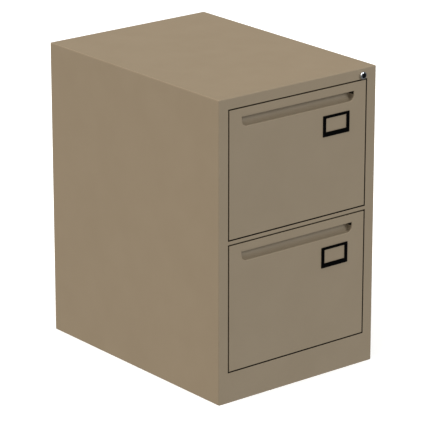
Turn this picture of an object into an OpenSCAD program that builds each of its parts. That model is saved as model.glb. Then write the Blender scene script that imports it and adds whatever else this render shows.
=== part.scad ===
// Two-drawer steel filing cabinet, legal width, with full-extension ball-bearing slides.
// Origin: centre of the overall box at floor level. +X is to the right of someone facing the
// drawers, -Y is the way the drawers open, +Z is up. Millimetres.

/* [Cabinet] */
// Outside width of the case
cabinet_w = 457; // [380:1:560]
// Outside depth of the case, front face to back face
cabinet_d = 622; // [500:1:760]
// Outside height of the case
cabinet_h = 711; // [590:1:860]
// Thickness of the case's sheet steel
case_sheet = 0.9; // [0.7:0.1:1.4]
// Outside radius of the case's long folded edges
fold_r = 2.5; // [1.8:0.1:4]
// Width of the stile at each side of the drawers
stile_w = 27.2; // [22:0.1:36]
// Height of the rail above the upper drawer
top_rail_h = 25.9; // [24:0.1:40]
// Height of the rail between the drawers
middle_rail_h = 8.5; // [6:0.1:20]
// Height of the plinth below the lower drawer
plinth_h = 71.4; // [60:0.1:110]
// Gap all round each drawer front
front_gap = 3; // [1.5:0.1:5]
// Depth of the folded returns behind the stiles and rails
return_d = 18; // [12:0.5:22]

/* [Frame] */
// Thickness of the uprights' sheet steel
upright_sheet = 1.2; // [1:0.1:2]
// Width of an upright's web, front to back
upright_w = 40; // [36:1:60]
// Height of the base pan above the floor
base_pan_z = 50; // [44:1:56]
// Distance from the upright's top end to the top of the case
upright_drop = 51; // [40:1:70]

/* [Drawers] */
// Depth of the folded drawer front
face_depth = 25; // [23:0.5:27]
// Thickness of the drawer's sheet steel
drawer_sheet = 0.8; // [0.6:0.1:1.2]
// Height of the tray's floor above the lower edge of the drawer front
tray_rise = 12; // [6:0.5:20]
// Distance from the tray's top edge up to the top edge of the drawer front
tray_drop = 29.6; // [20:0.1:50]
// Outward step of the tray's upper sides, which sets the rails for hanging files apart
rail_step = 5.6; // [3:0.1:6.2]
// Height of the hemmed rail that hanging files hook over
rail_h = 12; // [8:0.5:16]

/* [Handle] */
// Distance from each end of the handle recess to the end of the drawer front
pull_end = 35.8; // [25:0.1:60]
// Distance from the top of the handle recess up to the top of the drawer front
pull_top = 19.6; // [17:0.1:30]
// Height of the handle recess's mouth
pull_h = 22.5; // [18:0.5:30]
// Depth of the handle recess
pull_depth = 19; // [14:0.5:20]
// Radius of the lower corners of the handle recess
pull_corner = 14; // [6:0.5:16]
// Height of the finger space behind the upper lip of the handle recess
pull_hood = 9; // [5:0.5:11]
// Radius of the cove between the handle recess's floor and its back
pull_cove = 17; // [8:0.5:17]

/* [Card holder] */
// Width of the card holder
card_w = 78; // [60:1:90]
// Height of the card holder
card_h = 49; // [35:1:60]
// Thickness of the card holder
card_t = 1.8; // [1.4:0.1:3]
// Distance from the card holder's end to the right end of the drawer front
card_end = 49.3; // [20:0.1:80]
// Distance from the card holder's top up to the top of the drawer front
card_top = 62.6; // [56:0.1:100]
// Width of the card holder's side bars
card_side_bar = 8.7; // [5:0.1:12]
// Height of the card holder's upper bar
card_top_bar = 6.4; // [4:0.1:10]
// Height of the card holder's lower bar
card_low_bar = 10.6; // [5:0.1:14]

/* [Lock] */
// Distance from the lock's axis to the inner edge of the right stile
lock_inset = 14.3; // [12:0.1:30]
// Height of the lock's axis above the lower edge of the top rail
lock_rise = 9.5; // [9:0.1:14]
// Radius of the lock's bezel
bezel_r = 9; // [8.5:0.1:11]
// Distance that the bezel stands out from the rail
lock_proud = 6; // [3:0.5:9]
// Radius of the lock barrel behind the bezel
barrel_r = 7.7; // [7:0.1:8]
// Length of the lock barrel behind the rail's face
barrel_l = 27; // [20:0.5:30]
// Radius of the turning plug
plug_r = 5.5; // [4.5:0.1:6]
// Distance from the lock's axis to the cam's pin
cam_throw = 8.5; // [7:0.1:9.5]
// Radius of the cam's pin
cam_pin_r = 1.5; // [1:0.1:2]
// Thickness of the lock bar's flat steel
bar_t = 2; // [1.5:0.1:3]
// Width of the lock bar
bar_w = 16; // [12:0.5:18]

/* [Slides] */
// Height of a slide's outer member
slide_h = 45; // [42:0.5:50]
// Thickness of the slide members' steel
slide_sheet = 1.2; // [1:0.1:1.4]
// Radius of a slide's balls
ball_r = 2; // [1.7:0.1:2.2]
// Balls in each row
row_balls = 8; // [4:1:10]
// Height of the slide's middle above the tray's floor
slide_rise = 85; // [60:1:90]
// Space left between the slide's rear end and the back of the case
slide_rear_space = 45; // [40:1:90]

/* [Feet] */
// Radius of a levelling foot's pad
foot_r = 15; // [10:0.5:18]
// Radius of a levelling foot's screw
foot_screw_r = 4; // [3:0.1:5]
// Distance from a foot's axis to the outside of the case, each way
foot_inset = 36; // [34:0.5:60]

/* [Hidden] */
$fn = 64;

// Overlap that a cut reaches past the faces it opens
past = 1;

// Case: front and back faces, the drawers' opening and the height of each drawer front
front_y = -(cabinet_d + lock_proud) / 2 + lock_proud;
back_y = front_y + cabinet_d;
case_half = cabinet_w / 2;
wall_half = case_half - case_sheet;
opening_half = case_half - stile_w;
face_half = opening_half - front_gap;
rail_z = cabinet_h - top_rail_h;
face_h = (rail_z - middle_rail_h - plinth_h - 4 * front_gap) / 2;
lower_z = plinth_h + front_gap;
upper_z = lower_z + face_h + 2 * front_gap + middle_rail_h;
middle_rail_z = lower_z + face_h + front_gap;
side_flange = 15;
rear_flange = 14;
panel_press = 3;
panel_border = 40;
panel_border_low = 75;
pan_flange = 15;
stiffener_w = 44;
stiffener_h = 12;
stiffener_foot = 12;
hat_foot = 12;

// Slide: stations across its thickness, measured from the upright's face towards the tray
slide_play = 0.3;
race_play = 0.1;
side_play = 0.2;
cage_sheet = 0.4;
cage_rim = 0.5;
race_lip = 1.3;
race_rib = 1;
slide_face = opening_half - slide_play;
middle_web_u = slide_sheet + 2 * side_play + cage_sheet;
outer_ball_u = middle_web_u + slide_sheet + side_play + ball_r;
outer_lip_u = outer_ball_u + ball_r + side_play;
inner_cage_u = middle_web_u + slide_sheet + side_play;
inner_free_u = inner_cage_u + 2 * cage_sheet;
inner_ball_u = inner_free_u + race_rib + side_play + ball_r;
middle_lip_u = inner_ball_u + ball_r + side_play;
inner_web_u = middle_lip_u + slide_sheet + 0.7;
slide_t = inner_web_u + slide_sheet;

// Slide: half heights of the races, from the outer member in
outer_race_v = slide_h / 2 - slide_sheet;
outer_ball_v = outer_race_v - race_play - ball_r;
middle_race_v = outer_ball_v - ball_r - race_play;
middle_bore_v = middle_race_v - slide_sheet;
inner_ball_v = middle_bore_v - race_play - ball_r;
inner_race_v = inner_ball_v - ball_r - race_play;

// Slide: its length, its travel and the places along it
slide_y = front_y + face_depth + 2;
slide_l = cabinet_d - face_depth - 2 - slide_rear_space;
slide_travel = slide_l;
slide_stop = 1.2;
buffer_l = 4;
buffer_gap = 0.5;
member_l = slide_l - slide_stop - buffer_l - buffer_gap;
cage_l = slide_l - slide_travel / 2 - 25;
cage_y = slide_y + (slide_l - cage_l) / 2;
ball_pitch = cage_l / row_balls;
pocket_play = 0.08;
hook_w = 8;
hook_h = 8;
hook_lip = 6;
hook_play = 0.3;
hook_z = [-15, 7];

// Frame: the two rows of uprights
front_upright_y = front_y + return_d + 2;
rear_upright_y = slide_y + slide_l - upright_w - 20;
upright_z = base_pan_z + case_sheet;
upright_top = cabinet_h - upright_drop;
front_hook_y = slide_y + 14;
rear_hook_y = rear_upright_y + upright_w / 2;

// Drawer: tray, its sides and its screws to the slides
tray_half = slide_face - slide_t;
tray_h = face_h - tray_rise - tray_drop;
tray_y = front_y + face_depth;
tray_l = slide_l + 8;
rail_half = tray_half + rail_step;
step_z = slide_rise + slide_h / 2 + 8;
step_h = 10;
tab_l = 12;
tab_gap = 2;
liner_flange = 8;
screw_r = 1.9;
screw_head_r = 3.5;
screw_head_h = 1.6;
screw_play = 0.12;
screw_past = 1.5;
screw_y = [slide_y + 25, slide_y + slide_l / 2, slide_y + slide_l - 35];

// Handle recess and card holder
pull_half = face_half - pull_end;
pull_z = face_h - pull_top - pull_h;
pull_rim = 6;
card_x = face_half - card_end - card_w;
card_z = face_h - card_top - card_h;
card_pocket = 0.6;
card_lap = 3;

// Lock: axis, the cam's swing and the bar that it lifts
lock_x = opening_half - lock_inset;
lock_z = rail_z + lock_rise;
plug_play = 0.05;
plug_recess = 0.4;
face_rim = 1.2;
keyway_w = 1.8;
keyway_h = 7.6;
keyway_d = 9;
tail_w = 6;
cam_t = 2.2;
cam_hub_r = 7.5;
cam_tip_r = 3.5;
cam_y = front_y + barrel_l + 0.4;
cam_swing = 90;
pin_x = cam_throw * cos(cam_swing / 2);
pin_z = -cam_throw * sin(cam_swing / 2);
bar_lift = -2 * pin_z;
pin_drift = cam_throw - pin_x;
bar_y = cam_y + cam_t + 1.9;
bar_x = slide_face + 11;
arm_h = 10;
arm_play = 0.5;
clip_t = 1.2;
clip_half = 12;

// Lock: a tongue for each drawer's striker
tongue_h = 12;
tongue_clear = 1;
tongue_drop = 2;
striker_drop = 65;
striker_base_t = 1.5;
striker_h = 10;
striker_t = 2.5;
striker_reach = slide_face - 1.2;
tongue_end = rail_half + striker_base_t + 0.8;
window_play = 1.5;
guide_play = 0.25;
guide_h = 10;
guide_wall = 3;

// Feet
foot_h = 6;
foot_hex = 4;
foot_screw_l = 34;
foot_play = 0.05;
bracket_z = 12;
bracket_t = 2;
bracket_half = 16;
bracket_flange = 20;
insert_r = 7;
insert_h = 10;

function tray_z(base) = base + tray_rise;
function slide_z(base) = tray_z(base) + slide_rise;
function striker_z(base) = tray_z(base) + tray_h - striker_drop;
function tongue_z(base) = striker_z(base) - tongue_drop - tongue_h;

// An outline's points in reverse, mirrored in its upright axis or in its level axis
function flipped(points) = [for (i = [len(points) - 1:-1:0]) [-points[i][0], points[i][1]]];
function turned(points) = [for (i = [len(points) - 1:-1:0]) [points[i][0], -points[i][1]]];

// Extrudes an x-z outline along y
module along_y(y, length) {
  translate([0, y + length, 0]) rotate([90, 0, 0]) linear_extrude(length) children();
}

// Extrudes a y-z outline along x
module along_x(x, length) {
  translate([x, 0, 0]) rotate([90, 0, 90]) linear_extrude(length) children();
}

// A box given by its low corner and its high corner
module box(low, high) {
  translate(low) cube(high - low);
}

// Puts a right-hand piece on its own side: 1 is right, -1 is left
module on_side(side) {
  if (side > 0) children();
  else mirror([1, 0, 0]) children();
}

// A rectangle with round corners at its upper two corners, or at its upper right one only
module round_top(x0, x1, z0, z1, r, both) {
  union() {
    translate([both ? x0 + r : x0, z0]) square([x1 - x0 - (both ? 2 : 1) * r, z1 - z0]);
    translate([x0, z0]) square([x1 - x0, z1 - z0 - r]);
    translate([x1 - r, z1 - r]) circle(r);
    if (both) translate([x0 + r, z1 - r]) circle(r);
  }
}

// A block with round edges along its top, its two front corners and its top front edge
module soft_block(half, y0, y1, z0, z1, r) {
  intersection() {
    along_y(y0, y1 - y0) round_top(-half, half, z0, z1, r, true);
    translate([0, 0, z0]) linear_extrude(z1 - z0) mirror([0, 1])
      round_top(-half, half, -y1, -y0, r, true);
    mirror([0, 1, 0]) along_x(-half, 2 * half) round_top(-y1, -y0, z0, z1, r, false);
  }
}

// Sides, top, stiles and top rail: one folded sheet, welded and ground at its corners
module outer_wrap() color([0.50, 0.45, 0.37]) {
  difference() {
    soft_block(case_half, front_y, back_y, 0, cabinet_h, fold_r);
    soft_block(wall_half, front_y + case_sheet, back_y + past, -past,
      cabinet_h - case_sheet, fold_r - case_sheet);
    box([-opening_half, front_y - past, -past], [opening_half, front_y + return_d, rail_z]);
    lock_cylinder(barrel_r + plug_play, front_y - past, front_y + case_sheet + past);
  }
  box([-opening_half - case_sheet / 2, front_y + case_sheet / 2, rail_z],
    [opening_half + case_sheet / 2, front_y + return_d, rail_z + case_sheet]);
  for (side = [-1, 1]) on_side(side) {
    box([opening_half, front_y + case_sheet / 2, 0],
      [opening_half + case_sheet, front_y + return_d, rail_z + case_sheet]);
    box([case_half - side_flange, front_y + return_d, 0],
      [case_half - case_sheet / 2, back_y - case_sheet / 2, case_sheet]);
    box([case_half - rear_flange, back_y - case_sheet, 0],
      [case_half - case_sheet / 2, back_y, cabinet_h - fold_r]);
  }
  box([-case_half + fold_r, back_y - case_sheet, cabinet_h - rear_flange],
    [case_half - fold_r, back_y, cabinet_h - case_sheet / 2]);
}

// Back: a sheet pressed inwards across its middle and welded inside the wrap's flanges
module back_panel() color([0.46, 0.41, 0.34]) {
  inner = case_half - panel_border;
  low = panel_border_low;
  high = cabinet_h - panel_border;
  y = back_y - 2 * case_sheet;
  difference() {
    box([-wall_half, y, case_sheet], [wall_half, y + case_sheet, cabinet_h - fold_r]);
    box([-inner, y - past, low], [inner, back_y, high]);
  }
  difference() {
    box([-inner - case_sheet, y - panel_press, low - case_sheet],
      [inner + case_sheet, y + case_sheet / 2, high + case_sheet]);
    box([-inner, y - panel_press + case_sheet, low], [inner, back_y, high]);
  }
}

// Hat channel welded under the middle of the top
module top_stiffener() color([0.46, 0.41, 0.34]) {
  top = cabinet_h - case_sheet;
  half = stiffener_w / 2;
  foot = half + stiffener_foot;
  reach = case_half - fold_r - 1;
  along_x(-reach, 2 * reach) difference() {
    union() {
      translate([-half, top - stiffener_h]) square([stiffener_w, stiffener_h]);
      translate([-foot, top - case_sheet]) square([2 * foot, case_sheet]);
    }
    translate([-half + case_sheet, top - stiffener_h + case_sheet])
      square([stiffener_w - 2 * case_sheet, stiffener_h]);
  }
}

// Shallow pan that ties the sides, the plinth and the back together above the feet
module base_pan() color([0.46, 0.41, 0.34]) {
  front = front_y + case_sheet;
  wide = front_upright_y;
  rear = back_y - 2 * case_sheet;
  low = base_pan_z - pan_flange;
  high = base_pan_z + case_sheet;
  box([-opening_half, front, base_pan_z], [opening_half, rear, high]);
  box([-wall_half, wide, base_pan_z], [wall_half, rear, high]);
  box([-opening_half, front, low], [opening_half, front + case_sheet, high]);
  box([-wall_half, rear - case_sheet, low], [wall_half, rear, high]);
  for (side = [-1, 1]) on_side(side)
    box([wall_half - case_sheet, wide, low], [wall_half, rear, high]);
}

// A rail between the stiles: a face with a return folded back along each long edge
module channel_rail(low, high, low_return) {
  rear = front_y + return_d;
  box([-opening_half, front_y, low], [opening_half, front_y + case_sheet, high]);
  box([-opening_half, front_y, high - case_sheet], [opening_half, rear, high]);
  box([-opening_half, front_y, low], [opening_half, front_y + low_return, low + case_sheet]);
}

module front_plinth() color([0.50, 0.45, 0.37])
  channel_rail(0, plinth_h, side_flange);

module middle_rail() color([0.50, 0.45, 0.37])
  channel_rail(middle_rail_z, middle_rail_z + middle_rail_h, return_d);

// Slots in an upright's web for one slide's two hooks
module hook_slots(base, hook_y) {
  for (z = hook_z)
    box([slide_face - past, hook_y - hook_w / 2 - hook_play, slide_z(base) + z - hook_lip],
      [slide_face + upright_sheet + past, hook_y + hook_w / 2 + hook_play,
        slide_z(base) + z + hook_h + hook_lip]);
}

// Upright: a hat section welded to the side, which the slides hook into
module upright(y, hook_y) {
  t = upright_sheet;
  difference() {
    union() {
      box([slide_face, y, upright_z], [slide_face + t, y + upright_w, upright_top]);
      for (edge = [y, y + upright_w - t])
        box([slide_face, edge, upright_z], [wall_half, edge + t, upright_top]);
      for (edge = [y - hat_foot, y + upright_w - t])
        box([wall_half - t, edge, upright_z], [wall_half, edge + hat_foot + t, upright_top]);
    }
    for (base = [lower_z, upper_z]) hook_slots(base, hook_y);
  }
}

// The upright behind the lock also has a window for each of the lock bar's tongues
module lock_upright() {
  difference() {
    upright(front_upright_y, front_hook_y);
    for (base = [lower_z, upper_z])
      box([slide_face - past, bar_y - window_play, tongue_z(base) - window_play],
        [slide_face + upright_sheet + past, bar_y + bar_t + window_play,
          tongue_z(base) + tongue_h + bar_lift + window_play]);
  }
}

module left_front_upright() color([0.62, 0.62, 0.60])
  on_side(-1) upright(front_upright_y, front_hook_y);

module left_rear_upright() color([0.62, 0.62, 0.60])
  on_side(-1) upright(rear_upright_y, rear_hook_y);

module right_front_upright() color([0.62, 0.62, 0.60])
  lock_upright();

module right_rear_upright() color([0.62, 0.62, 0.60])
  upright(rear_upright_y, rear_hook_y);

// Where the four feet stand: x side, then y
foot_places = [for (side = [-1, 1], y = [front_y + foot_inset, back_y - foot_inset]) [side, y]];

// Brackets on the case's sides, each with a threaded insert for a foot
module foot_brackets() color([0.62, 0.62, 0.60]) {
  x = case_half - foot_inset;
  for (place = foot_places) on_side(place[0]) translate([0, place[1], 0]) difference() {
    union() {
      box([x - bracket_half, -bracket_half, bracket_z],
        [wall_half, bracket_half, bracket_z + bracket_t]);
      box([wall_half - bracket_t, -bracket_half, bracket_z],
        [wall_half, bracket_half, bracket_z + bracket_flange]);
      translate([x, 0, bracket_z]) cylinder(r = insert_r, h = bracket_t + insert_h);
    }
    translate([x, 0, bracket_z - past])
      cylinder(r = foot_screw_r + foot_play, h = bracket_t + insert_h + 2 * past);
  }
}

// Levelling foot: a pad with a hexagon for a spanner and a screw
module foot(side, y) color([0.16, 0.16, 0.16])
  on_side(side) translate([case_half - foot_inset, y, 0]) {
    cylinder(r = foot_r, h = foot_h);
    translate([0, 0, foot_h - past]) cylinder(r = 2 * foot_screw_r, h = foot_hex + past, $fn = 6);
    translate([0, 0, foot_h]) cylinder(r = foot_screw_r, h = foot_screw_l);
  }

// A cylinder along y about the lock's axis
module lock_cylinder(r, y0, y1) {
  translate([lock_x, y1, lock_z]) rotate([90, 0, 0]) cylinder(r = r, h = y1 - y0);
}

// Lock housing: a round bezel in front of the rail and a barrel through it
module lock_housing() color([0.80, 0.80, 0.82]) {
  difference() {
    union() {
      lock_cylinder(bezel_r, front_y - lock_proud, front_y);
      lock_cylinder(barrel_r, front_y - past, front_y + barrel_l);
    }
    lock_cylinder(plug_r + plug_play, front_y - lock_proud - past, front_y + barrel_l + past);
    difference() {
      lock_cylinder(bezel_r - face_rim, front_y - lock_proud - past,
        front_y - lock_proud + plug_recess);
      lock_cylinder(plug_r - face_rim, front_y - lock_proud - 2 * past, front_y);
    }
  }
}

// Spring clip that is pushed down over the barrel behind the rail's face
module lock_clip() color([0.62, 0.62, 0.60]) {
  low = rail_z + case_sheet + 0.8;
  r = barrel_r + plug_play;
  difference() {
    box([lock_x - clip_half, front_y + case_sheet, low],
      [lock_x + clip_half, front_y + case_sheet + clip_t, lock_z + barrel_r + 4]);
    lock_cylinder(r, front_y, front_y + barrel_l);
    box([lock_x - r, front_y, low - past], [lock_x + r, front_y + barrel_l, lock_z]);
  }
}

// Plug: the part that the key turns, with a square tail for the cam
module lock_plug() color([0.10, 0.10, 0.11]) {
  face = front_y - lock_proud + plug_recess;
  difference() {
    lock_cylinder(plug_r, face, cam_y);
    box([lock_x - keyway_w / 2, face - past, lock_z - keyway_h / 2],
      [lock_x + keyway_w / 2, face + keyway_d, lock_z + keyway_h / 2]);
  }
  box([lock_x - tail_w / 2, cam_y - past, lock_z - tail_w / 2],
    [lock_x + tail_w / 2, cam_y + cam_t, lock_z + tail_w / 2]);
  lock_cylinder(tail_w * 0.75, cam_y + cam_t, cam_y + cam_t + 0.8);
}

// Cam: an arm with a pin, which lifts the lock bar as the plug turns
module lock_cam() color([0.70, 0.70, 0.72]) {
  hole = tail_w / 2 + plug_play;
  difference() {
    along_y(cam_y, cam_t) translate([lock_x, lock_z]) union() {
      circle(cam_hub_r);
      translate([pin_x, pin_z]) circle(cam_tip_r);
      rotate(-cam_swing / 2) translate([0, -cam_tip_r + 0.3])
        square([cam_throw, 2 * cam_tip_r - 0.6]);
    }
    box([lock_x - hole, cam_y - past, lock_z - hole],
      [lock_x + hole, cam_y + cam_t + past, lock_z + hole]);
  }
  translate([lock_x + pin_x, cam_y + cam_t + 1.9 + bar_t + 2, lock_z + pin_z])
    rotate([90, 0, 0]) cylinder(r = cam_pin_r, h = cam_t / 2 + 1.9 + bar_t + 2);
}

// Lock bar: a vertical flat with an arm to the cam and a tongue for each drawer
module lock_bar() color([0.66, 0.66, 0.64]) {
  arm_z = lock_z + pin_z;
  low = tongue_z(lower_z) - 8;
  slot_h = 2 * (cam_pin_r + arm_play);
  slot_x0 = lock_x + pin_x - cam_pin_r - arm_play;
  slot_x1 = lock_x + pin_x + pin_drift + cam_pin_r + arm_play;
  box([bar_x, bar_y, low], [bar_x + bar_t, bar_y + bar_w, arm_z + arm_h / 2]);
  difference() {
    box([slot_x0 - 3, bar_y, arm_z - arm_h / 2],
      [bar_x + bar_t, bar_y + bar_t, arm_z + arm_h / 2]);
    box([slot_x0, bar_y - past, arm_z - slot_h / 2],
      [slot_x1, bar_y + bar_t + past, arm_z + slot_h / 2]);
  }
  for (base = [lower_z, upper_z])
    box([tongue_end, bar_y, tongue_z(base)],
      [bar_x + bar_t, bar_y + bar_t, tongue_z(base) + tongue_h]);
}

// Guides: nylon blocks on the case's side that the lock bar slides through
module lock_bar_guides() color([0.85, 0.84, 0.80]) {
  for (z = [tongue_z(lower_z) + tongue_h + bar_lift + 10, upright_top - 3 * guide_h])
    difference() {
      box([bar_x - guide_wall, bar_y - guide_wall, z],
        [wall_half, bar_y + bar_w + guide_wall, z + guide_h]);
      box([bar_x - guide_play, bar_y - guide_play, z - past],
        [bar_x + bar_t + guide_play, bar_y + bar_w + guide_play, z + guide_h + past]);
    }
}

// Runs a slide's outline, drawn as (u, v), along a drawer's slide on one side
module slide_run(side, base, y, length) {
  on_side(side) along_y(y, length) translate([slide_face, slide_z(base)]) mirror([1, 0])
    children();
}

// Outer member: hooks into the uprights and holds the outer rows of balls
module slide_outer(side, base) color([0.74, 0.75, 0.77]) {
  half = slide_h / 2;
  lip_end = outer_lip_u + slide_sheet;
  lip_v = outer_race_v - race_lip;
  edge = [
    [0, half], [lip_end, half], [lip_end, lip_v],
    [outer_lip_u, lip_v], [outer_lip_u, outer_race_v], [slide_sheet, outer_race_v]
  ];
  slide_run(side, base, slide_y, slide_l) polygon(concat(edge, turned(edge)));
  slide_run(side, base, slide_y + slide_l - slide_stop, slide_stop)
    translate([slide_sheet / 2, -inner_race_v])
      square([inner_web_u - side_play - slide_sheet / 2, 2 * inner_race_v]);
  hook_x = slide_face + upright_sheet + hook_play;
  for (y = [front_hook_y, rear_hook_y], z = hook_z) on_side(side) {
    box([slide_face - slide_sheet / 2, y - hook_w / 2, slide_z(base) + z],
      [hook_x + slide_sheet, y + hook_w / 2, slide_z(base) + z + hook_h]);
    box([hook_x, y - hook_w / 2, slide_z(base) + z - hook_lip],
      [hook_x + slide_sheet, y + hook_w / 2, slide_z(base) + z + hook_h]);
  }
}

// Middle member: carries the outer balls on its outside and the inner balls on its inside
module slide_middle(side, base) color([0.70, 0.71, 0.73]) {
  web_end = middle_web_u + slide_sheet;
  lip_end = middle_lip_u + slide_sheet;
  rib_v = middle_race_v + race_rib;
  lip_v = middle_bore_v - race_lip + cage_rim / 2;
  edge = [
    [middle_web_u, rib_v], [web_end, rib_v], [web_end, middle_race_v],
    [lip_end, middle_race_v], [lip_end, lip_v], [middle_lip_u, lip_v],
    [middle_lip_u, middle_bore_v], [web_end, middle_bore_v]
  ];
  slide_run(side, base, slide_y, member_l) polygon(concat(edge, turned(edge)));
}

// Inner member: is screwed to the tray and rides on the inner balls
module slide_inner(side, base) color([0.74, 0.75, 0.77]) {
  rib_u = inner_free_u + race_rib;
  rib_v = inner_race_v + race_rib;
  bore_v = inner_race_v - slide_sheet;
  edge = [
    [slide_t, inner_race_v], [rib_u, inner_race_v], [rib_u, rib_v],
    [inner_free_u, rib_v], [inner_free_u, bore_v], [inner_web_u, bore_v]
  ];
  difference() {
    slide_run(side, base, slide_y, member_l) polygon(concat(edge, turned(edge)));
    for (y = screw_y) on_side(side) screw_hole(y, slide_z(base));
  }
}

// The hole for a slide screw, through the tray's side and the inner member
module screw_hole(y, z) {
  translate([tray_half - drawer_sheet - past, y, z]) rotate([0, 90, 0])
    cylinder(r = screw_r + screw_play, h = drawer_sheet + slide_sheet + 2 * past);
}

// Screws that hold a drawer's tray to its two inner members
module slide_screws(base) color([0.72, 0.72, 0.74]) {
  inside = tray_half - drawer_sheet;
  for (side = [-1, 1], y = screw_y) on_side(side) translate([inside, y, slide_z(base)])
    rotate([0, 90, 0]) {
      translate([0, 0, -screw_head_h]) cylinder(r = screw_head_r, h = screw_head_h);
      cylinder(r = screw_r, h = drawer_sheet + slide_sheet + screw_past);
    }
}

// One cage: a thin channel whose rims have a pocket for each ball
module ball_cage(side, base, web_u, rim_v, ball_u) {
  rim_end = ball_u + ball_r - side_play;
  edge = [
    [web_u, rim_v + cage_rim], [rim_end, rim_v + cage_rim],
    [rim_end, rim_v - cage_rim], [web_u + cage_sheet, rim_v - cage_rim]
  ];
  difference() {
    slide_run(side, base, cage_y, cage_l) polygon(concat(edge, turned(edge)));
    for (row = [-1, 1], i = [0:row_balls - 1]) on_side(side)
      translate([slide_face - ball_u, cage_y + (i + 0.5) * ball_pitch,
          slide_z(base) + row * rim_v - 2 * cage_rim])
        cylinder(r = ball_r + pocket_play, h = 4 * cage_rim);
  }
}

// One slide's two rows of balls
module ball_rows(side, base, ball_u, ball_v) {
  for (edge = [-1, 1], i = [0:row_balls - 1]) on_side(side)
    translate([slide_face - ball_u, cage_y + (i + 0.5) * ball_pitch,
        slide_z(base) + edge * ball_v])
      sphere(ball_r);
}

module outer_ball_cages(base) color([0.55, 0.55, 0.52])
  for (side = [-1, 1])
    ball_cage(side, base, slide_sheet + side_play, outer_ball_v, outer_ball_u);

module outer_balls(base) color([0.85, 0.85, 0.87])
  for (side = [-1, 1]) ball_rows(side, base, outer_ball_u, outer_ball_v);

module inner_ball_cages(base) color([0.55, 0.55, 0.52])
  for (side = [-1, 1]) ball_cage(side, base, inner_cage_u, inner_ball_v, inner_ball_u);

module inner_balls(base) color([0.85, 0.85, 0.87])
  for (side = [-1, 1]) ball_rows(side, base, inner_ball_u, inner_ball_v);

// Rubber buffers at the slides' rear ends, which the closed drawer comes up against
module slide_buffers(base) color([0.10, 0.10, 0.10])
  for (side = [-1, 1])
    slide_run(side, base, slide_y + slide_l - slide_stop - buffer_l, buffer_l)
      translate([inner_free_u, -inner_race_v + slide_sheet])
        square([inner_web_u - inner_free_u - side_play, 2 * (inner_race_v - slide_sheet)]);

// The outline of the handle recess, as (x, z) from the drawer front's lower edge
module pull_outline(grow, hood) {
  half = pull_half + grow;
  low = pull_z - grow;
  r = pull_corner + grow;
  top = pull_z + pull_h + hood + grow;
  union() {
    translate([-half, low + r]) square([2 * half, top - low - r]);
    translate([-half + r, low]) square([2 * (half - r), top - low]);
    for (side = [-1, 1]) translate([side * (half - r), low + r]) circle(r);
  }
}

// Drawer front: a folded pan with the mouth of the handle recess cut in its face
module drawer_front(base) color([0.50, 0.45, 0.37]) translate([0, 0, base])
  difference() {
    box([-face_half, front_y, 0], [face_half, front_y + face_depth, face_h]);
    box([-face_half + drawer_sheet, front_y + drawer_sheet, drawer_sheet],
      [face_half - drawer_sheet, front_y + face_depth + past, face_h - drawer_sheet]);
    along_y(front_y - past, drawer_sheet + 2 * past) pull_outline(0, 0);
  }

// The handle cup as a solid: the outline pushed back, with a cove along its lower back edge
module cup_solid(grow, y, depth) {
  r = min(pull_cove, pull_depth - drawer_sheet - 1) + grow;
  low = pull_z - grow;
  half = pull_half + grow;
  intersection() {
    along_y(y, depth) pull_outline(grow, pull_hood);
    along_x(-half, 2 * half) union() {
      translate([y, low]) square([depth - r, 2 * pull_cove + pull_h]);
      translate([y, low + r]) square([depth, 2 * pull_cove + pull_h]);
      translate([y + depth - r, low + r]) circle(r);
    }
  }
}

// Handle cup: a pressed cup welded behind the mouth, with finger space above it
module pull_cup(base) color([0.50, 0.45, 0.37]) translate([0, 0, base]) {
  y = front_y + drawer_sheet;
  difference() {
    union() {
      along_y(y, drawer_sheet) pull_outline(pull_rim, pull_hood);
      cup_solid(drawer_sheet, y, pull_depth);
    }
    cup_solid(0, y, pull_depth - drawer_sheet);
    along_y(y - past, past + drawer_sheet / 2) pull_outline(0, pull_hood);
  }
}

// Liner: a shallow pan that closes the back of the drawer front
module front_liner(base) color([0.46, 0.41, 0.34]) translate([0, 0, base]) {
  half = face_half - drawer_sheet;
  low = drawer_sheet;
  high = face_h - drawer_sheet;
  rear = front_y + face_depth;
  difference() {
    box([-half, rear - liner_flange, low], [half, rear, high]);
    box([-half + drawer_sheet, rear - liner_flange - past, low + drawer_sheet],
      [half - drawer_sheet, rear - drawer_sheet, high - drawer_sheet]);
    box([-pull_half - 2 * pull_rim, rear - liner_flange - past, high - drawer_sheet - past],
      [pull_half + 2 * pull_rim, rear - drawer_sheet, high + past]);
  }
}

// The right half of the tray's outside, from its rail down to its floor, as (x, z)
function tray_outside(base) = let (z = tray_z(base), top = z + tray_h) [
  [rail_half, top],
  [rail_half, z + step_z + step_h],
  [tray_half, z + step_z],
  [tray_half, z]
];

// The right half of the tray's inside, from its floor up to its rail
function tray_inside(base) = let (z = tray_z(base), t = drawer_sheet) [
  [tray_half - t, z + t],
  [tray_half - t, z + step_z],
  [rail_half - t, z + step_z + step_h],
  [rail_half - t, z + tray_h]
];

// Tray: floor and sides in one folded sheet, with hemmed rails for hanging files
module drawer_tray(base) color([0.50, 0.45, 0.37]) {
  z = tray_z(base);
  t = drawer_sheet;
  outside = tray_outside(base);
  inside = tray_inside(base);
  difference() {
    union() {
      along_y(tray_y, tray_l)
        polygon(concat(outside, flipped(outside), flipped(inside), inside));
      for (side = [-1, 1]) on_side(side) {
        box([rail_half - t / 2, tray_y, z + tray_h - rail_h],
          [rail_half + t, tray_y + tray_l, z + tray_h]);
        box([tray_half - t - tab_l, tray_y, z + t + tab_l + tab_gap],
          [tray_half - t / 2, tray_y + t, z + step_z]);
      }
      box([-tray_half + t + tab_l + tab_gap, tray_y, z + t / 2],
        [tray_half - t - tab_l - tab_gap, tray_y + t, z + t + tab_l]);
    }
    for (side = [-1, 1], y = screw_y) on_side(side) screw_hole(y, slide_z(base));
  }
}

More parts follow.
